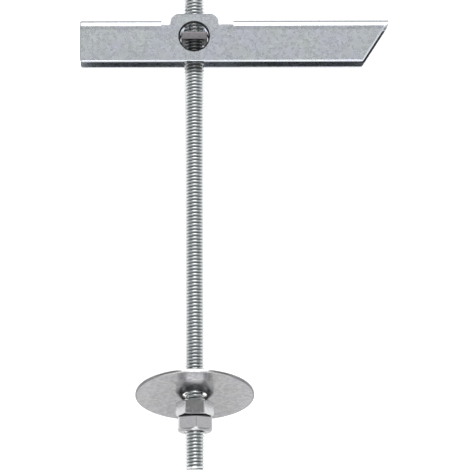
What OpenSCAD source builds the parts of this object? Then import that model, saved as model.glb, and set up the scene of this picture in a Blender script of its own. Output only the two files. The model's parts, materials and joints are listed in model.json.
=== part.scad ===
// Toggle bolt for hollow ceilings: a folded steel channel that pivots on a plate
// nut, a threaded rod, a large washer and two hexagon nuts.
//
// Every piece is first modelled about the pivot: the rod is the Z axis, with the
// nuts below and the bar's web above, the bar runs along X, and the bar's walls
// face -Y and +Y. lying() then lays the assembly down as it comes to rest.

/* [Toggle bar] */
// Thickness of the folded sheet
sheet_t = 1.25; // [1:0.05:1.25]
// Width over the two walls
bar_w = 8.8; // [8.8:0.1:9.6]
// Length of the short arm, from the pivot
arm_short = 34; // [25:1:45]
// Length of the long arm along the open edge, from the pivot
arm_long = 50.1; // [40:0.1:70]
// How much further the web reaches than the open edge, at the slanted end
slant_run = 8.2; // [4:0.1:12]
// Height of the web's outer face above the pivot
web_z = 5.2; // [4.8:0.1:5.4]
// Depth of the open edge below the pivot
edge_z = 7.6; // [6:0.1:9]
// Outside radius of the two folds
fold_r = 2.1; // [1.8:0.1:2.3]
// Radius of the walls' corners
corner_r = 0.8; // [0.4:0.1:1.2]

/* [Slot and ears] */
// End of the slot on the short arm's side, from the pivot
slot_short = 9.8; // [9:0.1:12]
// End of the slot on the long arm's side, from the pivot
slot_long = 11.7; // [11:0.1:14]
// Height of the walls beside the ears, above the pivot
shoulder_z = 3.6; // [3.5:0.1:3.8]
// Height of the ears, above the pivot
ear_z = 6.9; // [6.5:0.1:7.5]
// Width of an ear at its foot
ear_foot = 14.3; // [13.5:0.1:15]
// Width of an ear at its top, before its corners are rounded
ear_top = 14; // [13:0.1:14.2]
// Radius of the ears' top corners
ear_corner_r = 2.4; // [1.5:0.1:2.5]
// Distance of the ears' middle from the pivot, towards the long arm
ear_shift = 0.1; // [0:0.1:0.5]
// Diameter of the pivot holes
pivot_d = 8.6; // [8.4:0.1:9]
// Rounding of the pivot holes' outer rim, from the punch
rim_roll = 0.25; // [0.1:0.05:0.4]

/* [Plate nut] */
// Width of the plate
plate_w = 7.7; // [7.2:0.1:7.8]
// Thickness of the plate
plate_t = 2.2; // [1.8:0.1:2.4]
// Length of the plate across the bar
plate_len = 9; // [8.8:0.1:10]
// How far the plate sits above the middle of the pivot holes
plate_lift = 0.3; // [0:0.05:0.3]

/* [Rod and nuts] */
// Nominal diameter of the thread
thread_d = 6; // [6]
// Radial clearance between the nuts' plain bores and the rod
thread_gap = 0.05; // [0.02:0.01:0.08]
// Length of the rod
rod_len = 150; // [140:1:200]
// How far the rod stands out above the pivot
rod_above = 20.7; // [12:0.1:20.7]
// Width of the nuts across their flats
nut_flats = 9.8; // [9.6:0.1:10]
// Width of the nuts over their rounded corners
nut_corners = 11.05; // [10.9:0.05:11.1]
// Height of each nut
nut_h = 4.6; // [4:0.1:5]
// Distance from the pivot down to the upper nut's top face
nut_z = 109.1; // [60:0.1:115]
// Turn of the lower nut against the upper one
lock_turn = 35; // [0:5:55]

/* [Washer] */
// Outside diameter of the washer
washer_d = 34.8; // [25:0.1:40]
// Diameter of the washer's hole
washer_hole = 7.2; // [7:0.1:7.4]
// Thickness of the washer
washer_t = 0.9; // [0.8:0.05:1.5]
// How far the loose washer leans from square to the rod
washer_lean = 15; // [12:0.1:15]
// Offset of the washer's centre from the rod's axis, as the rod hangs in its hole
washer_drop = 0.25; // [0.1:0.05:0.25]

/* [Hidden] */
$fn = 96;

zinc = [0.72, 0.74, 0.76];
zinc_dark = [0.56, 0.57, 0.59];

cut = 1;                       // overrun of a cutting body past what it cuts
rod_bevel = 0.6;               // chamfer at the rod's ends
plate_bevel = 0.25;            // broken edges of the plate nut's ends
washer_bevel = 0.15;           // broken edges of the washer
nut_bevel_angle = 30;          // slope of the nuts' corner chamfers
nut_face_d = 9.2;              // flat ring left by those chamfers on a nut's face
nut_sink = 0.35;               // countersink at both ends of a nut's bore
ear_foot_r = 0.6;              // fillet where an ear rises from its shoulder
tip_r = 0.4;                   // rounding of the slanted end's sharp tip
fold_steps = 12;               // facets of each fold

rod_r = thread_d / 2;
bore_r = rod_r + thread_gap;
arm_tip = arm_long + slant_run;

// The washer stands on its rim just above the upper nut, and its lower half
// leans on the nut's upper chamfer.
lean_gap = 0.1;
washer_z = -nut_z + lean_gap + washer_t / 2 / cos(washer_lean)
    + (nut_face_d / 2 + washer_drop) * tan(washer_lean);

// Lying down, the part touches the floor with the washer's rim and the ears'
// top edge, and that sets the rod's slope.
rim_up = washer_t / 2 - washer_bevel;
rim_reach = washer_d / 2 * cos(washer_lean) + rim_up * sin(washer_lean);
rim_back = washer_d / 2 * sin(washer_lean) - rim_up * cos(washer_lean);
rod_slope = atan((rim_reach - bar_w / 2 - washer_drop)
    / (ear_z - washer_z + rim_back));
rest_z = bar_w / 2 * cos(rod_slope) + ear_z * sin(rod_slope);
rest_x = -(arm_tip - arm_short) / 2;
rest_y = (rod_len / 2 - rod_above) * cos(rod_slope);

// Lays the upright assembly down: the nuts' end of the rod is raised.
module lying() {
    translate([rest_x, rest_y, rest_z])
        rotate([-90 - rod_slope, 0, 0])
            children();
}

function unit(v) = v / norm(v);

// Points of an arc of radius r that rounds the corner at p, between its
// neighbours a and b. It rounds outer corners and fillets inner ones alike.
function rounded(a, p, b, r, steps = 8) =
    let (ta = unit(a - p))
    let (tb = unit(b - p))
    let (half = acos(ta * tb) / 2)
    let (sweep = 180 - 2 * half)
    let (middle = p + unit(ta + tb) * r / sin(half))
    let (first = p + ta * r / tan(half) - middle)
    let (last = p + tb * r / tan(half) - middle)
    [for (i = [0:steps])
        middle + (first * sin(sweep * (1 - i / steps)) + last * sin(sweep * i / steps)) / sin(sweep)];

// Side view of the channel, with its slanted end.
module side_outline() {
    foot_l = [-arm_short, -edge_z];
    foot_r = [arm_long, -edge_z];
    tip = [arm_tip, web_z];
    head_l = [-arm_short, web_z];
    polygon(concat(
        rounded(head_l, foot_l, foot_r, corner_r),
        rounded(foot_l, foot_r, tip, corner_r),
        rounded(foot_r, tip, head_l, tip_r),
        [head_l]
    ));
}

// Right half of an arch, from its foot past the open edge up to its middle, with
// the corner rounded by r.
function half_arch(w, z, r) = concat([[w, -edge_z - cut]], rounded([w, 0], [w, z], [0, z], r, fold_steps));

function to_left(points) = [for (p = points) [-p.x, p.y]];

function reversed(points) = [for (i = [len(points) - 1:-1:0]) points[i]];

// Section of the channel: a web with a wall folded down on each side.
module channel_section() {
    outside = half_arch(bar_w / 2, web_z, fold_r);
    inside = half_arch(bar_w / 2 - sheet_t, web_z - sheet_t, fold_r - sheet_t);
    polygon(concat(outside, to_left(reversed(outside)), to_left(inside), reversed(inside)));
}

// Side view of a wall in the slot: two shoulders and the ear that was lanced out
// of the web and left standing in line with the wall.
module ear_outline() {
    foot_l = [ear_shift - ear_foot / 2, shoulder_z];
    foot_r = [ear_shift + ear_foot / 2, shoulder_z];
    top_l = [ear_shift - ear_top / 2, ear_z];
    top_r = [ear_shift + ear_top / 2, ear_z];
    end_l = [-slot_short, shoulder_z];
    end_r = [slot_long, shoulder_z];
    polygon(concat(
        [[slot_long, 0], end_r],
        rounded(end_r, foot_r, top_r, ear_foot_r),
        rounded(foot_r, top_r, top_l, ear_corner_r),
        rounded(top_r, top_l, foot_l, ear_corner_r),
        rounded(top_l, foot_l, end_l, ear_foot_r),
        [end_l, [-slot_short, 0]]
    ));
}

module folded_channel() {
    intersection() {
        translate([-arm_short - cut, 0, 0])
            rotate([90, 0, 90])
                linear_extrude(arm_short + arm_tip + 2 * cut) channel_section();
        rotate([90, 0, 0])
            linear_extrude(bar_w + 2 * cut, center = true) side_outline();
    }
}

module toggle_bar() {
    color(zinc) lying() difference() {
        union() {
            difference() {
                folded_channel();
                translate([-slot_short, -bar_w / 2 - cut, 0])
                    cube([slot_short + slot_long, bar_w + 2 * cut, web_z + cut]);
            }
            for (wall_y = [-bar_w / 2 + sheet_t, bar_w / 2])
                translate([0, wall_y, 0])
                    rotate([90, 0, 0]) linear_extrude(sheet_t) ear_outline();
        }
        rotate([90, 0, 0]) cylinder(h = bar_w + 2 * cut, d = pivot_d, center = true);
        for (side = [-1, 1])
            rotate([-90 * side, 0, 0])
                translate([0, 0, bar_w / 2 - 2 * rim_roll])
                    cylinder(h = 4 * rim_roll, d1 = pivot_d - 2 * rim_roll, d2 = pivot_d + 6 * rim_roll);
    }
}

// A strip of thick sheet through both pivot holes, tapped in its middle. Its ends
// turn in the holes, and the rod through it keeps it in place.
module pivot_nut() {
    end_w = plate_w / 2;
    end_t = plate_t / 2;
    b = plate_bevel;
    color(zinc_dark) lying() translate([0, 0, plate_lift]) difference() {
        rotate([90, 0, 0])
            linear_extrude(plate_len, center = true)
                polygon([
                    [-end_w + b, -end_t], [end_w - b, -end_t], [end_w, -end_t + b], [end_w, end_t - b],
                    [end_w - b, end_t], [-end_w + b, end_t], [-end_w, end_t - b], [-end_w, -end_t + b]
                ]);
        cylinder(h = plate_t + 2 * cut, r = bore_r, center = true);
    }
}

// The rod, plain at the thread's outside diameter, with chamfered ends.
module threaded_rod() {
    color(zinc_dark) lying()
        translate([0, 0, rod_above - rod_len])
            rotate_extrude()
                polygon([
                    [0, 0], [rod_r - rod_bevel, 0], [rod_r, rod_bevel],
                    [rod_r, rod_len - rod_bevel], [rod_r - rod_bevel, rod_len], [0, rod_len]
                ]);
}

module washer() {
    outer = washer_d / 2;
    inner = washer_hole / 2;
    b = washer_bevel;
    color(zinc) lying()
        translate([0, -washer_drop, washer_z])
            rotate([-washer_lean, 0, 0])
                translate([0, 0, -washer_t / 2])
                    rotate_extrude()
                        polygon([
                            [inner + b, 0], [outer - b, 0], [outer, b], [outer, washer_t - b],
                            [outer - b, washer_t], [inner + b, washer_t],
                            [inner, washer_t - b], [inner, b]
                        ]);
}

// A hexagon nut standing on z = 0: rounded corners, both faces chamfered, and a
// countersunk bore.
module nut() {
    corner = nut_corners / 2;
    ring = nut_face_d / 2;
    slope = (corner - ring) * tan(nut_bevel_angle);
    difference() {
        intersection() {
            cylinder(h = nut_h, r = nut_flats / sqrt(3), $fn = 6);
            rotate_extrude()
                polygon([
                    [0, 0], [ring, 0], [corner, slope],
                    [corner, nut_h - slope], [ring, nut_h], [0, nut_h]
                ]);
        }
        translate([0, 0, -cut]) cylinder(h = nut_h + 2 * cut, r = bore_r);
        for (up = [0, 1])
            translate([0, 0, up * nut_h])
                mirror([0, 0, up])
                    translate([0, 0, -nut_sink])
                        cylinder(h = 2 * nut_sink, r1 = bore_r + 2 * nut_sink, r2 = bore_r);
    }
}

// The upper nut has a flat towards -Y.
module hex_nut() {
    color(zinc) lying()
        translate([0, 0, -nut_z - nut_h]) nut();
}

// The lower nut is tightened against the upper one and locks it.
module lock_nut() {
    color(zinc) lying()
        translate([0, 0, -nut_z - 2 * nut_h]) rotate(lock_turn) nut();
}

toggle_bar();
pivot_nut();
threaded_rod();
washer();
hex_nut();
lock_nut();
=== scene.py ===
# %% [markdown]
# # A toggle bolt for hollow ceilings
# A folded steel channel swings on a plate nut, which is screwed on a long
# threaded rod. A large loose washer and two hexagon nuts hold the board from
# below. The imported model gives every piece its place, its size and its joints.
# This script gives the pieces their real threads, broken edges and zinc.
# %% Load the frame
import json
import math

import bmesh
import bpy
from mathutils import Matrix, Vector


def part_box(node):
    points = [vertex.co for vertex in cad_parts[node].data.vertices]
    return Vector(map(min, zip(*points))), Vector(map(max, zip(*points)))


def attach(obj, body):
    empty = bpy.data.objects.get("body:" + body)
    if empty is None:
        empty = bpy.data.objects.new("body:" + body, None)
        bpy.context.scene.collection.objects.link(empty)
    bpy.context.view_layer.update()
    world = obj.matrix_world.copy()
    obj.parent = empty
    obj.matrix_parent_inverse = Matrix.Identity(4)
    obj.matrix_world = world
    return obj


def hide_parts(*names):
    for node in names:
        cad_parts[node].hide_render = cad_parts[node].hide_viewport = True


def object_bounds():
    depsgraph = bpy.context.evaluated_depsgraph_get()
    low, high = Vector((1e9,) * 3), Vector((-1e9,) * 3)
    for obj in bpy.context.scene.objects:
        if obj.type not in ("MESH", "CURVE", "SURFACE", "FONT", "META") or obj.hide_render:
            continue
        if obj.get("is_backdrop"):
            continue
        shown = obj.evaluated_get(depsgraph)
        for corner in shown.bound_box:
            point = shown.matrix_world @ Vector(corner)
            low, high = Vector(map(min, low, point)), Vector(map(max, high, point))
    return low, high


MM = 0.001
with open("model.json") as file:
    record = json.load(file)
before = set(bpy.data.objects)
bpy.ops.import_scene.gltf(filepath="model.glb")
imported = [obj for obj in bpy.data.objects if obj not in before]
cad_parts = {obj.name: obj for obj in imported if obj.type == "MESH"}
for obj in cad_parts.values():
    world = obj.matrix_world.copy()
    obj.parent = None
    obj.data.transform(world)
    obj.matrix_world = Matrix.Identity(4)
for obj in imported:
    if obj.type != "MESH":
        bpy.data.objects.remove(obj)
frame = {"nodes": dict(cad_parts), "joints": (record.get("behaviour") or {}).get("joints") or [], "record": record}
cad_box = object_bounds()
print("nodes:", ", ".join(sorted(frame["nodes"])))

# %% [markdown]
# ## The bolt's own axes
# The bolt lies on the floor with its rod at a slope, but a thread or a washer is
# far easier to make upright. The joints give the bolt's own axes: the bar turns
# about its pivot, and the plate nut travels along the rod. So each new piece is
# made with the rod as Z and the pivot as origin, and `lay_down` turns its mesh
# into place. Its object stays at the origin.
# %% The bolt's own axes
joints = {joint["name"]: joint for joint in frame["joints"]}
pivot = Vector(joints["bar_pivot"]["pos_m"])
across = Vector(joints["bar_pivot"]["axis"])
along = Vector(joints["plate_nut_travel"]["axis"])
lying = Matrix.Translation(pivot) @ Matrix((across.cross(along), across, along)).transposed().to_4x4()
standing = lying.inverted()


def deselect():
    if bpy.context.mode != "OBJECT":
        bpy.ops.object.mode_set(mode="OBJECT")
    bpy.ops.object.select_all(action="DESELECT")


def take(piece):
    deselect()
    piece.select_set(True)
    bpy.context.view_layer.objects.active = piece


def middle_of(node):
    low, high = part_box(node)
    return standing @ ((low + high) / 2)


def lay_down(piece):
    take(piece)
    piece.matrix_world = lying @ piece.matrix_world
    bpy.ops.object.transform_apply(location=True, rotation=True, scale=True)


slope = math.degrees(math.asin(-along.z))
print(f"pivot {tuple(round(v / MM, 2) for v in pivot)} mm, rod slopes {slope:.2f} degrees")

# %% [markdown]
# ## Picking, cutting and finishing
# Every piece needs the same few moves, so they become helpers: pick faces or
# edges by a test on their place, apply a modifier, cut one piece with another,
# and break the sharp edges. A rolled or punched edge is never perfectly sharp,
# and it is the narrow rounding that catches the light. Where bevels meet, they
# can leave vertices a hair's breadth apart, and those are merged.
# %% Picking, cutting and finishing
SAME_PLACE = 0.002 * MM
SLIVER = 0.001 * MM


def pick_edges(piece, angle, test):
    """Select the edges sharper than an angle whose middle passes a test."""
    take(piece)
    bpy.ops.object.mode_set(mode="EDIT")
    bpy.ops.mesh.select_mode(type="EDGE")
    bpy.ops.mesh.select_all(action="DESELECT")
    shape = bmesh.from_edit_mesh(piece.data)
    for edge in shape.edges:
        middle = (edge.verts[0].co + edge.verts[1].co) / 2
        edge.select_set(edge.calc_face_angle(0) > math.radians(angle) and test(middle))
    bmesh.update_edit_mesh(piece.data)


def apply_modifier(piece, kind, **settings):
    take(piece)
    modifier = piece.modifiers.new(kind.title(), kind)
    for name, value in settings.items():
        setattr(modifier, name, value)
    bpy.ops.object.modifier_apply(modifier=modifier.name)


def cut(piece, tool, operation):
    apply_modifier(piece, "BOOLEAN", object=tool, operation=operation, solver="EXACT")
    bpy.data.objects.remove(tool)


def merge_and_flatten(piece, flat_angle=0.5):
    take(piece)
    bpy.ops.object.mode_set(mode="EDIT")
    bpy.ops.mesh.select_all(action="SELECT")
    bpy.ops.mesh.remove_doubles(threshold=SAME_PLACE)
    bpy.ops.mesh.dissolve_limited(angle_limit=math.radians(flat_angle), delimit={"SEAM"})
    bpy.ops.object.mode_set(mode="OBJECT")


def break_edges(piece, width, angle, test=lambda middle: True, segments=3):
    """Bevel the edges sharper than an angle that pass a test, then merge the slivers."""
    pick_edges(piece, angle, test)
    bpy.ops.mesh.bevel(offset=width, offset_type="OFFSET", segments=segments, affect="EDGES")
    bpy.ops.mesh.select_mode(type="VERT")
    bpy.ops.mesh.select_all(action="SELECT")
    bpy.ops.mesh.remove_doubles(threshold=SLIVER)
    bpy.ops.object.mode_set(mode="OBJECT")


def shade(piece, angle=35):
    """Smooth shading that keeps flat faces flat right up to their rounded edges."""
    take(piece)
    bpy.ops.object.shade_smooth_by_angle(angle=math.radians(angle))
    apply_modifier(piece, "WEIGHTED_NORMAL", keep_sharp=True, weight=80)


def triangles(piece):
    return sum(len(face.vertices) - 2 for face in piece.data.polygons)


# %% [markdown]
# ## The thread
# A rolled M6 thread has one ridge a millimetre, flanks at 60 degrees to each
# other, and rounded crests and roots. It could be faked with bump, but its
# silhouette shows, so it is modelled: one tooth's section is drawn by extruding
# a vertex, and a Screw modifier winds it up the rod. The surface is then cut
# square at both ends and filled, which makes it a closed solid. Every thread is
# wound from a whole number of millimetres, so a nut's thread is in step with
# the rod's at rest and after every whole turn.
# %% The thread
PITCH = 1.0 * MM
CREST = 2.97 * MM
ROOT = 2.38 * MM
TURN_STEPS = 40
CUT_TOUCH = 0.0001 * MM

# Each point: how far up the pitch it is, and how far out from root to crest.
TOOTH = [
    (0.00, 0.00), (0.07, 0.02), (0.13, 0.10), (0.41, 0.90), (0.45, 0.98),
    (0.50, 1.00), (0.55, 0.98), (0.59, 0.90), (0.87, 0.10), (0.93, 0.02), (1.00, 0.00),
]


def wound_thread(name, low, high, extra=0.0):
    """A closed threaded body from low to high on Z, its surface moved out by extra."""
    first = math.floor(low / PITCH) - 2
    turns = math.ceil(high / PITCH) + 2 - first
    deselect()
    bpy.ops.mesh.primitive_plane_add(size=PITCH)
    thread = bpy.context.object
    thread.name = name
    bpy.ops.object.mode_set(mode="EDIT")
    bpy.ops.mesh.merge(type="CENTER")
    places = [Vector((ROOT + extra + out * (CREST - ROOT), 0, (first + up) * PITCH)) for up, out in TOOTH]
    bpy.ops.transform.translate(value=places[0])
    for here, there in zip(places, places[1:]):
        bpy.ops.mesh.extrude_region_move(TRANSFORM_OT_translate={"value": there - here})
    bpy.ops.object.mode_set(mode="OBJECT")
    apply_modifier(
        thread, "SCREW", angle=math.tau, screw_offset=PITCH, iterations=turns,
        steps=TURN_STEPS, render_steps=TURN_STEPS, axis="Z",
    )
    bpy.ops.object.mode_set(mode="EDIT")
    bpy.ops.mesh.select_all(action="SELECT")
    bpy.ops.mesh.remove_doubles(threshold=SAME_PLACE)
    for height, outer in ((low, False), (high, True)):
        bpy.ops.mesh.select_all(action="SELECT")
        bpy.ops.mesh.bisect(
            plane_co=(0, 0, height), plane_no=(0, 0, 1), use_fill=True,
            clear_inner=not outer, clear_outer=outer, threshold=CUT_TOUCH,
        )
    bpy.ops.mesh.select_all(action="SELECT")
    bpy.ops.mesh.normals_make_consistent(inside=False)
    bpy.ops.object.mode_set(mode="OBJECT")
    return thread


# %% [markdown]
# ## Turned blanks
# Nuts and rods are turned before they are threaded, and the turning is what
# gives them their conical chamfers. A turned blank is a disc that is extruded
# up ring by ring, each ring resized to its own radius.
# %% Turned blanks
TURNED_SIDES = 128
TURNED_START = math.radians(1)


def turned(name, rings, middle=Vector()):
    """A solid of revolution about Z. Each ring is (radius, height), from the bottom up."""
    deselect()
    radius, height = rings[0]
    bpy.ops.mesh.primitive_circle_add(
        vertices=TURNED_SIDES, radius=radius, fill_type="NGON", location=(0, 0, height),
        rotation=(0, 0, TURNED_START),
    )
    blank = bpy.context.object
    blank.name = name
    bpy.ops.object.transform_apply(location=True, rotation=True)
    bpy.ops.object.mode_set(mode="EDIT")
    bpy.ops.mesh.select_all(action="SELECT")
    for (radius, height), (next_radius, next_height) in zip(rings, rings[1:]):
        bpy.ops.mesh.extrude_region_move(TRANSFORM_OT_translate={"value": (0, 0, next_height - height)})
        scale = next_radius / radius
        bpy.ops.transform.resize(value=(scale, scale, 1), center_override=(0, 0, 0))
    bpy.ops.mesh.select_all(action="SELECT")
    bpy.ops.mesh.normals_make_consistent(inside=False)
    bpy.ops.object.mode_set(mode="OBJECT")
    blank.location = middle
    bpy.ops.object.transform_apply(location=True)
    return blank


# %% [markdown]
# ## The threaded rod
# The rod is cut from a long bar that was rolled with thread all along, and its
# ends are chamfered so that a nut starts easily. The wound thread is therefore
# intersected with a turned blank that is wider than the thread and tapers at
# both ends.
# %% The threaded rod
ROD_LENGTH = 150 * MM
ROD_END = 2.4 * MM
BLANK_RADIUS = 3.2 * MM

rod_middle = middle_of("threaded_rod")
rod_low = rod_middle.z - ROD_LENGTH / 2
rod_high = rod_middle.z + ROD_LENGTH / 2
taper = BLANK_RADIUS - ROD_END
rod = wound_thread("threaded_rod_m6", rod_low, rod_high)
cut(rod, turned("rod_blank", [
    (ROD_END, rod_low), (BLANK_RADIUS, rod_low + taper),
    (BLANK_RADIUS, rod_high - taper), (ROD_END, rod_high),
]), "INTERSECT")
bpy.ops.object.shade_smooth_by_angle(angle=math.radians(50))
print(f"rod {ROD_LENGTH / MM:.0f} mm long, {triangles(rod)} triangles")

# %% [markdown]
# ## The hexagon nuts
# A nut is pressed from hexagon wire, so its corners are round. Both faces are
# chamfered by turning, and it is then countersunk and tapped. The model follows
# the same order. The tap is the rod's own thread, a little larger all over. The
# wire is cut longer than the nut, so that turning alone makes both end faces. The
# lower nut is screwed on at another turn, and its lower face is chamfered deeper.
# %% The hexagon nuts
NUT_FLATS = 9.8 * MM
NUT_CORNER = 0.3 * MM
NUT_SOFTNESS = 0.03 * MM
NUT_HEIGHT = 4.6 * MM
NUT_RING = 4.6 * MM
NUT_SLOPE = 30
NUT_SINK = 0.35 * MM
TAP_GAP = 0.04 * MM
WIRE_LENGTH = 1.3 * NUT_HEIGHT
BLANK_REACH = 6 * MM
LOCK_NUT_TURN = 35
LOCK_NUT_RING = 4.42 * MM
LOCK_NUT_SLOPE = 40


def tap(piece, middle, height):
    low = middle.z - height / 2 - PITCH / 4
    cut(piece, wound_thread("tap", low, low + height + PITCH / 2, TAP_GAP), "DIFFERENCE")
    wide = CREST + TAP_GAP + 2 * NUT_SINK
    for side in (-1, 1):
        face = middle.z + side * height / 2
        rings = [(wide - 2 * NUT_SINK, face - NUT_SINK), (wide, face + NUT_SINK)]
        if side < 0:
            rings = [(wide, face - NUT_SINK), (wide - 2 * NUT_SINK, face + NUT_SINK)]
        cut(piece, turned("countersink", rings), "DIFFERENCE")


def hexagon_nut(name, node, turn, low_ring, low_slope):
    middle = middle_of(node)
    deselect()
    bpy.ops.mesh.primitive_cylinder_add(
        vertices=6, radius=NUT_FLATS / math.sqrt(3), depth=WIRE_LENGTH,
        location=middle, rotation=(0, 0, math.radians(30 + turn)),
    )
    nut = bpy.context.object
    nut.name = name
    bpy.ops.object.transform_apply(location=True, rotation=True)
    break_edges(nut, NUT_CORNER, angle=30, test=lambda at: abs(at.z - middle.z) < NUT_HEIGHT / 4)
    low_rise = (BLANK_REACH - low_ring) * math.tan(math.radians(low_slope))
    high_rise = (BLANK_REACH - NUT_RING) * math.tan(math.radians(NUT_SLOPE))
    cut(nut, turned("nut_blank", [
        (low_ring, -NUT_HEIGHT / 2), (BLANK_REACH, low_rise - NUT_HEIGHT / 2),
        (BLANK_REACH, NUT_HEIGHT / 2 - high_rise), (NUT_RING, NUT_HEIGHT / 2),
    ], middle), "INTERSECT")
    merge_and_flatten(nut)
    break_edges(nut, NUT_SOFTNESS, angle=24)
    tap(nut, middle, NUT_HEIGHT)
    shade(nut)
    return nut


upper_nut = hexagon_nut("upper_hexagon_nut", "hex_nut", 0, NUT_RING, NUT_SLOPE)
lower_nut = hexagon_nut("lower_hexagon_nut", "lock_nut", LOCK_NUT_TURN, LOCK_NUT_RING, LOCK_NUT_SLOPE)
print(f"upper nut {triangles(upper_nut)} triangles, lower nut {triangles(lower_nut)} triangles")

# %% [markdown]
# ## The plate nut
# The bar pivots on a strip of thick sheet, sheared to length, with a tapped hole
# in its middle. Its long edges are slightly rounded from rolling.
# %% The plate nut
PLATE = Vector((7.7, 9.0, 2.2)) * MM
PLATE_ROLL = 0.22 * MM

plate_middle = middle_of("pivot_nut")
deselect()
bpy.ops.mesh.primitive_cube_add(size=1, location=plate_middle, scale=PLATE)
plate_nut = bpy.context.object
plate_nut.name = "plate_nut"
bpy.ops.object.transform_apply(location=True, scale=True)
break_edges(plate_nut, PLATE_ROLL, angle=30)
tap(plate_nut, plate_middle, PLATE.z)
shade(plate_nut)
print(f"plate nut {triangles(plate_nut)} triangles")

# %% [markdown]
# ## The washer
# A washer is punched from sheet. The punch draws the hole's edge on one face into
# a soft round, here on the face towards the nuts, and leaves its other edge
# sharp. The rim is softened on both faces, by tumbling in the plating barrel.
# The section is drawn once, by extruding a vertex round it, and spun about the
# axis.
# %% The washer
WASHER_RADIUS = 17.4 * MM
WASHER_HOLE = 3.6 * MM
WASHER_THICK = 0.9 * MM
PUNCH_ROLL = 0.2 * MM
PUNCH_BURR = 0.06 * MM
WASHER_STEPS = 192


def rounded_corner(corner, towards, leaving, radius, steps=4):
    """Points of a quarter round at a square corner of a section."""
    middle = corner - towards * radius + leaving * radius
    return [
        middle + (towards * math.sin(a) - leaving * math.cos(a)) * radius
        for a in (i / steps * math.pi / 2 for i in range(steps + 1))
    ]


def washer_section():
    out, up = Vector((1, 0, 0)), Vector((0, 0, 1))
    half = WASHER_THICK / 2
    return (
        rounded_corner(WASHER_RADIUS * out - half * up, out, up, PUNCH_ROLL)
        + rounded_corner(WASHER_RADIUS * out + half * up, up, -out, PUNCH_ROLL)
        + rounded_corner(WASHER_HOLE * out + half * up, -out, -up, PUNCH_BURR)
        + rounded_corner(WASHER_HOLE * out - half * up, -up, out, PUNCH_ROLL)
    )


deselect()
bpy.ops.mesh.primitive_plane_add(size=PITCH)
washer = bpy.context.object
washer.name = "penny_washer"
bpy.ops.object.mode_set(mode="EDIT")
bpy.ops.mesh.merge(type="CENTER")
section = washer_section()
bpy.ops.transform.translate(value=section[0])
for here, there in zip(section, section[1:] + section[:1]):
    bpy.ops.mesh.extrude_region_move(TRANSFORM_OT_translate={"value": there - here})
bpy.ops.mesh.select_all(action="SELECT")
bpy.ops.mesh.spin(steps=WASHER_STEPS, angle=math.tau, center=(0, 0, 0), axis=(0, 0, 1))
bpy.ops.mesh.select_all(action="SELECT")
bpy.ops.mesh.remove_doubles(threshold=SAME_PLACE)
bpy.ops.mesh.normals_make_consistent(inside=False)
bpy.ops.object.mode_set(mode="OBJECT")
print(f"washer {triangles(washer)} triangles")

# %% [markdown]
# The washer hangs loose, so it leans. Its mount names the direction that its
# face looks in, and the middle of its node is its centre.
# %% Lean the washer
faces = {mount["name"]: mount for mount in frame["record"]["mounts"]}
washer_up = standing.to_3x3() @ Vector(faces["washer_face"]["axis"])
lean = Vector((0, 0, 1)).rotation_difference(washer_up)
washer.matrix_world = Matrix.Translation(middle_of("washer")) @ lean.to_matrix().to_4x4()
take(washer)
bpy.ops.object.transform_apply(location=True, rotation=True)
shade(washer)
print(f"washer leans {math.degrees(lean.angle):.1f} degrees")

# %% [markdown]
# ## The channel bar
# The bar's folds, slot, ears and slanted end are already true in the model. What
# it lacks is the softness of its edges. So its mesh is copied, and its loose
# triangles are merged back into flat faces. The blanking die rolls the outer
# edges of the walls over, wide enough to catch a line of light, so those edges
# are picked by their place and bevelled first. The walls' inner edges and the
# ears get a narrow bevel.
# %% The channel bar
FOLD_RADIUS = 2.1 * MM
FOLD_AXIS = (2.3 * MM, 3.1 * MM)
DIE_ROLL = 0.42 * MM
EDGE_SOFTNESS = 0.1 * MM
WALL_SKIN = (3.15 * MM, 4.4 * MM)
WALL_TOP = 2.9 * MM
OPEN_SIDE = -6 * MM
SLOT_REACH = 12.5 * MM
EAR_REACH = 9.6 * MM
EAR_FOOT = 3.55 * MM
TIP = 56 * MM
SHARP = 50
SLANT_FOOT = Vector((50.1, 0, -7.6)) * MM
SLANT_RUN = Vector((8.2, 0, 12.8)) * MM


def is_clear_of_slot(middle):
    """Beyond the slot's ends, or along the channel's open side."""
    return abs(middle.x) > SLOT_REACH or middle.z < OPEN_SIDE


def is_rolled(middle):
    """On the outer skin, clear of the slot and its ears, but not at the tip's fold."""
    out = max(abs(middle.y) - FOLD_AXIS[0], 0)
    up = max(middle.z - FOLD_AXIS[1], 0)
    on_skin = math.hypot(out, up) > FOLD_RADIUS - 0.02 * MM
    at_the_tip = middle.x > TIP and middle.z > FOLD_AXIS[1]
    return on_skin and not at_the_tip and is_clear_of_slot(middle)


def is_inner_edge(middle):
    """On a wall's inner face, along its open side or its ends."""
    on_wall = abs(abs(middle.y) - WALL_SKIN[0]) < 0.01 * MM and middle.z < WALL_TOP
    return on_wall and is_clear_of_slot(middle)


def is_ear_edge(middle):
    """Along the top of an ear and its shoulders, on either face."""
    on_face = min(abs(abs(middle.y) - skin) for skin in WALL_SKIN) < 0.01 * MM
    return on_face and abs(middle.x) < EAR_REACH and middle.z > EAR_FOOT


take(frame["nodes"]["toggle_bar"])
bpy.ops.object.duplicate()
channel = bpy.context.object
channel.name = "channel_bar"
channel.parent = None
for key in list(channel.keys()):
    del channel[key]
channel.matrix_world = standing @ channel.matrix_world
bpy.ops.object.transform_apply(location=True, rotation=True, scale=True)
bpy.ops.object.mode_set(mode="EDIT")
bpy.ops.mesh.select_all(action="SELECT")
bpy.ops.mesh.bisect(plane_co=(0, 0, 0), plane_no=(0, 0, 1))
bpy.ops.mesh.mark_seam()
merge_and_flatten(channel)
break_edges(channel, DIE_ROLL, SHARP, is_rolled, segments=5)
break_edges(channel, EDGE_SOFTNESS, SHARP, is_inner_edge)
break_edges(channel, EDGE_SOFTNESS, SHARP, is_ear_edge)
shade(channel)
print(f"channel {triangles(channel)} triangles")

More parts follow.
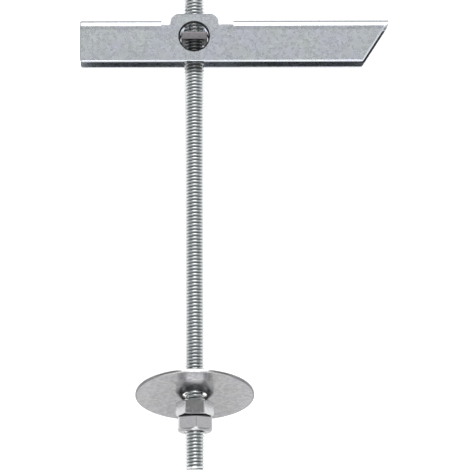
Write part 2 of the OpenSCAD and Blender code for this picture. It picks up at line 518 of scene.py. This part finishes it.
# %% [markdown]
# ## Zinc
# All the pieces are zinc-plated steel, but each got its coat on another surface.
# A group gives the mottling that they share: broad stains of colour, fine grain
# in tone, and a height for bump. Each material feeds it with its own scale and
# strength.
# %% Zinc mottling
GRAIN_SHARE = 0.6
FLAKE_SHARE = 0.4
STAIN_EDGE = 0.38
STAIN_GAIN = 4.0


def nodes_of(tree):
    return tree.nodes, tree.links


def mottling_group():
    group = bpy.data.node_groups.new("zinc mottling", "ShaderNodeTree")
    for name, kind, value in (
        ("Pale", "NodeSocketColor", (0.80, 0.81, 0.82, 1)),
        ("Blue", "NodeSocketColor", (0.70, 0.72, 0.80, 1)),
        ("Dull", "NodeSocketColor", (0.62, 0.64, 0.63, 1)),
        ("Grain Size", "NodeSocketFloat", 1.0),
        ("Stain Size", "NodeSocketFloat", 8.0),
        ("Contrast", "NodeSocketFloat", 0.5),
        ("Roughness", "NodeSocketFloat", 0.4),
        ("Spread", "NodeSocketFloat", 0.1),
    ):
        socket = group.interface.new_socket(name, in_out="INPUT", socket_type=kind)
        socket.default_value = value
    for name, kind in (
        ("Color", "NodeSocketColor"), ("Roughness", "NodeSocketFloat"), ("Height", "NodeSocketFloat"),
    ):
        group.interface.new_socket(name, in_out="OUTPUT", socket_type=kind)
    nodes, links = nodes_of(group)
    given, result = nodes.new("NodeGroupInput"), nodes.new("NodeGroupOutput")
    place = nodes.new("ShaderNodeTexCoord")

    def math_node(operation, first, second):
        node = nodes.new("ShaderNodeMath")
        node.operation = operation
        for socket, value in zip(node.inputs, (first, second)):
            if hasattr(value, "links"):
                links.new(value, socket)
            else:
                socket.default_value = value
        return node.outputs[0]

    def noise(size_socket, detail, roughness):
        node = nodes.new("ShaderNodeTexNoise")
        node.inputs["Detail"].default_value = detail
        node.inputs["Roughness"].default_value = roughness
        links.new(place.outputs["Object"], node.inputs["Vector"])
        links.new(math_node("DIVIDE", 1 / MM, given.outputs[size_socket]), node.inputs["Scale"])
        return node.outputs["Fac"]

    grain = noise("Grain Size", 3.0, 0.65)
    stain = noise("Stain Size", 2.0, 0.5)
    cells = nodes.new("ShaderNodeTexVoronoi")
    links.new(place.outputs["Object"], cells.inputs["Vector"])
    links.new(math_node("DIVIDE", 1 / MM, given.outputs["Grain Size"]), cells.inputs["Scale"])
    flake = nodes.new("ShaderNodeSeparateColor")
    links.new(cells.outputs["Color"], flake.inputs["Color"])

    grains = math_node("MULTIPLY", grain, GRAIN_SHARE)
    flakes = math_node("MULTIPLY", flake.outputs["Red"], FLAKE_SHARE)
    tone = math_node("ADD", grains, flakes)
    spread = math_node("MULTIPLY", math_node("SUBTRACT", tone, 0.5), given.outputs["Contrast"])
    blend = nodes.new("ShaderNodeMix")
    blend.data_type = "RGBA"
    stained = math_node("MULTIPLY", math_node("SUBTRACT", stain, STAIN_EDGE), STAIN_GAIN)
    links.new(stained, blend.inputs["Factor"])
    links.new(given.outputs["Dull"], blend.inputs["A"])
    links.new(given.outputs["Blue"], blend.inputs["B"])
    blend.clamp_factor = True
    pale = nodes.new("ShaderNodeMix")
    pale.data_type = "RGBA"
    pale.clamp_factor = True
    links.new(math_node("ADD", spread, 0.5), pale.inputs["Factor"])
    links.new(blend.outputs["Result"], pale.inputs["A"])
    links.new(given.outputs["Pale"], pale.inputs["B"])
    links.new(pale.outputs["Result"], result.inputs["Color"])
    uneven = math_node("SUBTRACT", flake.outputs["Green"], 0.5)
    rough = math_node("MULTIPLY", uneven, given.outputs["Spread"])
    links.new(math_node("ADD", given.outputs["Roughness"], rough), result.inputs["Roughness"])
    links.new(grain, result.inputs["Height"])
    return group


zinc_mottling = mottling_group()
print(f"zinc mottling: {len(zinc_mottling.nodes)} nodes")

# %% [markdown]
# ## Where shade and light are painted
# Shade and light are painted into the colours: darker in the roots of the
# threads, in and round holes, along the seam between the nuts, inside the
# channel and on the rod under the bar, and lighter on a few edges as painted
# highlights. Most of those places are round some axis, so a second group
# measures how far a point lies from an axis and how far along it. A material
# then turns a measure into painted shade or light.
# %% Distance from an axis
def axis_group():
    group = bpy.data.node_groups.new("distance from an axis", "ShaderNodeTree")
    for name in ("Origin", "Direction"):
        group.interface.new_socket(name, in_out="INPUT", socket_type="NodeSocketVector")
    for name in ("Radius", "Height", "Depth"):
        group.interface.new_socket(name, in_out="OUTPUT", socket_type="NodeSocketFloat")
    nodes, links = nodes_of(group)
    given, result = nodes.new("NodeGroupInput"), nodes.new("NodeGroupOutput")
    place = nodes.new("ShaderNodeTexCoord").outputs["Object"]

    def vector_node(operation, *vectors):
        node = nodes.new("ShaderNodeVectorMath")
        node.operation = operation
        for socket, source in zip(node.inputs, vectors):
            links.new(source, socket)
        return node

    offset = vector_node("SUBTRACT", place, given.outputs["Origin"]).outputs["Vector"]
    height = vector_node("DOT_PRODUCT", offset, given.outputs["Direction"]).outputs["Value"]
    foot = vector_node("SCALE", given.outputs["Direction"])
    links.new(height, foot.inputs["Scale"])
    outward = vector_node("SUBTRACT", offset, foot.outputs["Vector"]).outputs["Vector"]
    depth = nodes.new("ShaderNodeMath")
    depth.operation = "ABSOLUTE"
    links.new(height, depth.inputs[0])
    links.new(vector_node("LENGTH", outward).outputs["Value"], result.inputs["Radius"])
    links.new(height, result.inputs["Height"])
    links.new(depth.outputs[0], result.inputs["Depth"])
    return group


axis_distance = axis_group()
print(f"distance from an axis: {len(axis_distance.nodes)} nodes")

# %% [markdown]
# ## A coat and its shades
# A coat is a metal with the mottling in its colour, its roughness and its bump.
# A list of shades then paints shade or light into the colour by place, each
# where all of its measures from the axes agree.
# %% A coat and its shades
BUMP_DEPTH = 0.05 * MM


def shaded(nodes, links, color, shade_to, *places):
    """Multiply a colour by shade_to where every place's measure has passed from clear to full, in mm."""
    inside = None
    for (origin, direction), measure, clear, full in places:
        axis = nodes.new("ShaderNodeGroup")
        axis.node_tree = axis_distance
        axis.inputs["Origin"].default_value = origin
        axis.inputs["Direction"].default_value = direction
        ramp = nodes.new("ShaderNodeMapRange")
        ramp.interpolation_type = "SMOOTHSTEP"
        ramp.inputs["From Min"].default_value = clear * MM
        ramp.inputs["From Max"].default_value = full * MM
        links.new(axis.outputs[measure], ramp.inputs["Value"])
        if inside is not None:
            both = nodes.new("ShaderNodeMath")
            both.operation = "MULTIPLY"
            links.new(inside, both.inputs[0])
            links.new(ramp.outputs["Result"], both.inputs[1])
        inside = both.outputs[0] if inside is not None else ramp.outputs["Result"]
    level = nodes.new("ShaderNodeMapRange")
    level.inputs["To Min"].default_value = 1
    level.inputs["To Max"].default_value = shade_to
    links.new(inside, level.inputs["Value"])
    product = nodes.new("ShaderNodeVectorMath")
    product.operation = "SCALE"
    links.new(color, product.inputs[0])
    links.new(level.outputs["Result"], product.inputs["Scale"])
    return product.outputs["Vector"]


def zinc(name, bump, shades=(), **grain):
    material = bpy.data.materials.new(name)
    material.use_nodes = True
    nodes, links = nodes_of(material.node_tree)
    shader = nodes["Principled BSDF"]
    shader.inputs["Metallic"].default_value = 1.0
    mottled = nodes.new("ShaderNodeGroup")
    mottled.node_tree = zinc_mottling
    for socket, value in grain.items():
        mottled.inputs[socket.replace("_", " ")].default_value = value
    color = mottled.outputs["Color"]
    for shade_of in shades:
        color = shaded(nodes, links, color, *shade_of)
    links.new(color, shader.inputs["Base Color"])
    links.new(mottled.outputs["Roughness"], shader.inputs["Roughness"])
    relief = nodes.new("ShaderNodeBump")
    relief.inputs["Strength"].default_value = bump
    relief.inputs["Distance"].default_value = BUMP_DEPTH
    links.new(mottled.outputs["Height"], relief.inputs["Height"])
    links.new(relief.outputs["Normal"], shader.inputs["Normal"])
    return material


def finish(piece, material):
    piece.data.materials.clear()
    piece.data.materials.append(material)


print(f"bump is up to {BUMP_DEPTH / MM:.2f} mm deep")

# %% [markdown]
# ## The finishes
# The bar is zinc-coated sheet with a fine spangle, the washer and the plate nut
# are barrel-plated and satin, and the rod and nuts are bright. They differ in
# how large and strong the grain is, and in how sharp their reflections are. The
# last two numbers of each place are in millimetres.
# %% The finishes
SEAM_DROP = 0.17 * MM

rod_axis = (pivot, along)
hinge_axis = (pivot, across)
bar_axis = (pivot, across.cross(along))
slant_axis = (lying @ SLANT_FOOT, lying.to_3x3() @ Vector((SLANT_RUN.z, 0, -SLANT_RUN.x)).normalized())
washer_axis = (lying @ middle_of("washer"), Vector(faces["washer_face"]["axis"]))
nut_seam = (lying @ (middle_of("hex_nut") - Vector((0, 0, NUT_HEIGHT / 2 + SEAM_DROP))), along)

# Places where shade and light are painted: inside the channel, on its outer faces, beside the ears, and on the
# washer's rim.
within = (hinge_axis, "Depth", 3.6, 3.2)
outside = (hinge_axis, "Depth", 3.9, 4.0)
beside_the_ears = (bar_axis, "Depth", 9.6, 9.8)
on_the_rim = (washer_axis, "Radius", 17.05, 17.20)
sheet_zinc = zinc(
    "spangled sheet zinc", bump=0.25, Pale=(0.57, 0.60, 0.62, 1), Blue=(0.50, 0.51, 0.61, 1),
    Dull=(0.49, 0.53, 0.53, 1), Grain_Size=0.8, Stain_Size=6.0, Contrast=0.6, Roughness=0.28, Spread=0.06,
    shades=(
        # painted shade inside the channel
        (0.85, within),
        # painted highlight on the channel's inner walls above the plate nut
        (1.9, within, (rod_axis, "Height", 2.4, 2.8), (bar_axis, "Depth", 5.5, 5.0)),
        # painted shade inside the channel at its slanted end
        (0.4, within, (slant_axis, "Height", -1.3, -1.0), (rod_axis, "Height", -6.5, -6.0)),
        # painted highlight along the slanted end's outer edge
        (1.35, outside, (slant_axis, "Height", -0.55, -0.35)),
        # painted shade in a faint line along the outer walls where the folds start
        (0.82, outside, (rod_axis, "Height", 1.7, 2.3), (rod_axis, "Height", 3.1, 2.95), beside_the_ears),
        # painted shade over the tops of the folds and the web, beyond the ears
        (0.5, (rod_axis, "Height", 4.1, 4.4), beside_the_ears),
        # painted shade in a dark line along the tops of the ears
        (0.6, (rod_axis, "Height", 6.55, 6.65)),
        # painted shade along the bar's square end
        (0.75, (bar_axis, "Height", -33.4, -33.8)),
        # painted shade in a dark ring round the pivot holes
        (0.08, (hinge_axis, "Radius", 4.80, 4.65)),
    ),
)
washer_zinc = zinc(
    "satin washer zinc", bump=0.15, Pale=(0.39, 0.39, 0.39, 1), Blue=(0.28, 0.28, 0.31, 1),
    Dull=(0.27, 0.27, 0.27, 1), Grain_Size=0.9, Stain_Size=9.0, Contrast=1.8, Roughness=0.24, Spread=0.05,
    shades=(
        # painted shade on the rim, away from the middle
        (0.45, on_the_rim, (bar_axis, "Depth", 9.0, 15.0)),
        # painted highlight on the rim near the middle
        (1.6, on_the_rim, (bar_axis, "Depth", 11.0, 8.0)),
        # painted shade in a ring round the hole
        (0.15, (washer_axis, "Radius", 3.95, 3.75)),
    ),
)
bright_zinc = zinc(
    "bright nut zinc", bump=0.3, Pale=(0.58, 0.58, 0.59, 1), Blue=(0.52, 0.52, 0.55, 1),
    Dull=(0.50, 0.51, 0.51, 1), Grain_Size=0.45, Stain_Size=4.0, Contrast=1.5, Roughness=0.22, Spread=0.10,
    shades=(
        # painted shade in the seam between the two nuts, on their chamfers
        (0.2, (nut_seam, "Depth", 0.42, 0.30), (rod_axis, "Radius", 4.5, 4.6)),
        # painted shade round the bore
        (0.2, (rod_axis, "Radius", 3.1, 2.9)),
        # painted shade on the lower nut's bottom chamfer
        (0.6, (rod_axis, "Height", -117.3, -117.7)),
    ),
)
thread_zinc = zinc(
    "bright thread zinc", bump=0.1, Pale=(0.70, 0.72, 0.73, 1), Blue=(0.60, 0.62, 0.63, 1),
    Dull=(0.56, 0.59, 0.59, 1), Grain_Size=0.6, Stain_Size=5.0, Contrast=1.0, Roughness=0.16, Spread=0.06,
    shades=(
        # painted shade in the thread's roots
        (0.25, (rod_axis, "Radius", 2.50, 2.42)),
        # painted shade on the rod inside the bar
        (0.75, (rod_axis, "Depth", 7.0, 6.0)),
        # painted shadow of the bar on the rod, below the pivot
        (0.42, (rod_axis, "Height", 1.0, 0.0), (rod_axis, "Height", -11.0, -9.5)),
    ),
)
plate_zinc = zinc(
    "sheared plate zinc", bump=0.5, Pale=(0.23, 0.22, 0.23, 1), Blue=(0.17, 0.16, 0.17, 1),
    Dull=(0.16, 0.15, 0.16, 1), Grain_Size=0.45, Stain_Size=3.0, Contrast=1.6, Roughness=0.38, Spread=0.1,
    # painted shade on the plate nut's underside
    shades=((0.15, (rod_axis, "Height", -0.74, -0.79)),),
)
print("finishes:", ", ".join(material.name for material in bpy.data.materials))

# %% [markdown]
# ## Dress the pieces
# Each piece is laid down in its place, gets its coat, takes over from its node
# and rides on the body that moves it.
# %% Dress the pieces
for piece, node, body, material, slot in (
    (rod, "threaded_rod", "rod", thread_zinc, "rod_zinc"),
    (upper_nut, "hex_nut", "upper_nut", bright_zinc, "nut_zinc"),
    (lower_nut, "lock_nut", "locking_nut", bright_zinc, "nut_zinc"),
    (plate_nut, "pivot_nut", "plate_nut", plate_zinc, "nut_zinc"),
    (washer, "washer", "loose_washer", washer_zinc, "washer_zinc"),
    (channel, "toggle_bar", "bar", sheet_zinc, "bar_zinc"),
):
    lay_down(piece)
    finish(piece, material)
    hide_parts(node)
    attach(piece, body)
    print(f"{piece.name} dresses {node} and rides on {body}")

# %% [markdown]
# ## The light table
# The bolt lies on a plain white light table. Metal shows nothing but what it
# reflects, and the threads and folds reflect the table in most directions, so a
# table that glows evenly gives bright metal and hardly any shadow. The table
# shades no piece darker than a soft grey where they meet.
#
# The bolt touches the table with the washer and with the bar's ears, and its rod
# slopes down towards the bar. What slides along the rod comes down with it, so
# the table dips between the two places where it is touched, which leaves room
# for the washer and the hexagon nuts. The bar and its plate nut have no such
# room: where they swing or travel past the second place they sink into the
# table, the bar by up to 4.1 mm and the plate nut by up to 1.3 mm. Bisect leaves
# its new line selected, and moving the last line down makes the dip.
# %% The light table
TABLE_SIZE = 6
TABLE_GAP = 0.02 * MM
TABLE_GLOW = 0.72
TABLE_TONE = 0.50
TABLE_DIP = 8.5 * MM


def foot_of(piece):
    return min((vertex.co for vertex in piece.data.vertices), key=lambda place: place.z)


washer_foot, bar_foot = foot_of(washer), foot_of(channel)
deselect()
bpy.ops.mesh.primitive_plane_add(size=TABLE_SIZE, location=(0, 0, -TABLE_GAP))
table = bpy.context.object
table.name = "light_table"
bpy.ops.object.transform_apply(location=True)
bpy.ops.object.mode_set(mode="EDIT")
for line in (washer_foot, bar_foot, (washer_foot + bar_foot) / 2):
    bpy.ops.mesh.select_all(action="SELECT")
    bpy.ops.mesh.bisect(plane_co=(0, line.y, 0), plane_no=(0, 1, 0))
bpy.ops.transform.translate(value=(0, 0, -TABLE_DIP))
bpy.ops.object.mode_set(mode="OBJECT")
acrylic = bpy.data.materials.new("white acrylic")
acrylic.use_nodes = True
shader = acrylic.node_tree.nodes["Principled BSDF"]
shader.inputs["Base Color"].default_value = (TABLE_TONE, TABLE_TONE, TABLE_TONE, 1)
shader.inputs["Roughness"].default_value = 0.9
shader.inputs["Specular IOR Level"].default_value = 0.0
shader.inputs["Emission Color"].default_value = (1, 1, 1, 1)
shader.inputs["Emission Strength"].default_value = TABLE_GLOW
table.data.materials.append(acrylic)
table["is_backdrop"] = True
print(f"light table, touched at Y {washer_foot.y / MM:.1f} and {bar_foot.y / MM:.1f} mm")

# %% [markdown]
# ## The studio round it
# What a polished face looks at decides its tone. Overhead, where the flat faces
# look, is a dim ceiling with the camera in it. A strong soft light hangs low
# beyond the bar: every thread reflects it as a bead, after two bounces between
# its flanks, and a dark flag on either side of the light keeps the beads narrow.
# A card above the nuts lights the near side of the nuts, which the washer then
# mirrors, and a small lamp on the horizon catches the last nut's chamfer. The
# rest is an even pale grey. The room is drawn in the world's own directions: X
# and Y level, Z up. Each row gives a direction, a brightness, and the cosines
# between which it fades in.
# %% The studio
ROOM = 0.80
STUDIO = {
    "ceiling": ((0, 0, 1), 0.24, 0.90, 0.955),
    "soft light": ((0, 0.86, 0.51), 5.0, 0.86, 0.93),
    "near card": ((0.05, -0.585, 0.81), 3.4, 0.94, 0.965),
    "left flag": ((-0.676, 0.653, 0.342), 0.22, 0.90, 0.94),
    "right flag": ((0.676, 0.653, 0.342), 0.22, 0.90, 0.94),
    "horizon lamp": ((0, -1, 0.05), 3.4, 0.965, 0.985),
}

studio = bpy.data.worlds.new("studio")
bpy.context.scene.world = studio
studio.use_nodes = True
nodes, links = studio.node_tree.nodes, studio.node_tree.links
look = nodes.new("ShaderNodeTexCoord").outputs["Generated"]


def towards(direction, start, end):
    """A mask that rises from 0 to 1 as the look turns towards a direction; start and end are cosines."""
    product = nodes.new("ShaderNodeVectorMath")
    product.operation = "DOT_PRODUCT"
    links.new(look, product.inputs[0])
    product.inputs[1].default_value = Vector(direction).normalized()
    mask = nodes.new("ShaderNodeMapRange")
    mask.interpolation_type = "SMOOTHSTEP"
    mask.inputs["From Min"].default_value = start
    mask.inputs["From Max"].default_value = end
    links.new(product.outputs["Value"], mask.inputs["Value"])
    return mask.outputs["Result"]


def blend(level, target, mask):
    """A level that moves to target where the mask is 1."""
    mix = nodes.new("ShaderNodeMix")
    mix.data_type = "FLOAT"
    for socket, value in ((mix.inputs["A"], level), (mix.inputs["B"], target)):
        if isinstance(value, float):
            socket.default_value = value
        else:
            links.new(value, socket)
    links.new(mask, mix.inputs["Factor"])
    return mix.outputs["Result"]


level = ROOM
for direction, brightness, start, end in STUDIO.values():
    level = blend(level, brightness, towards(direction, start, end))
links.new(level, nodes["Background"].inputs["Strength"])
nodes["Background"].inputs["Color"].default_value = (1, 1, 1, 1)
print("studio:", ", ".join(STUDIO))

# %% [markdown]
# ## The camera
# It looks down on the lying bolt from about a metre away, a little from the
# nuts' end, with a long lens. Its place is given in the bolt's own axes.
# %% The camera
CAMERA_PLACE = Vector((6.53, -1000.0, -265.9)) * MM
CAMERA_LOOK = Vector((0.0053, 0.9793, 0.2021))
CAMERA_ROLL = -0.004
CAMERA_LENS = 264.9
CAMERA_SENSOR = 36

bpy.ops.object.camera_add()
camera = bpy.context.object
camera.data.lens = CAMERA_LENS
camera.data.sensor_width = CAMERA_SENSOR
back = -CAMERA_LOOK.normalized()
right = Vector((0, 0, 1)).cross(back).normalized()
up = back.cross(right)
aim = Matrix((right, up, back)).transposed().to_4x4() @ Matrix.Rotation(CAMERA_ROLL, 4, "Z")
camera.matrix_world = lying @ Matrix.Translation(CAMERA_PLACE) @ aim
bpy.context.scene.camera = camera
bpy.context.scene.view_settings.view_transform = "Standard"
print(f"camera at {tuple(round(v, 3) for v in camera.location)} m")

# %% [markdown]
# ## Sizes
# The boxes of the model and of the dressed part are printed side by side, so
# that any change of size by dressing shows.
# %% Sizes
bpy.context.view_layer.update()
for was, now in zip(cad_box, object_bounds()):
    print("box corner, mm:", [round(v / MM, 2) for v in was], "->", [round(v / MM, 2) for v in now])
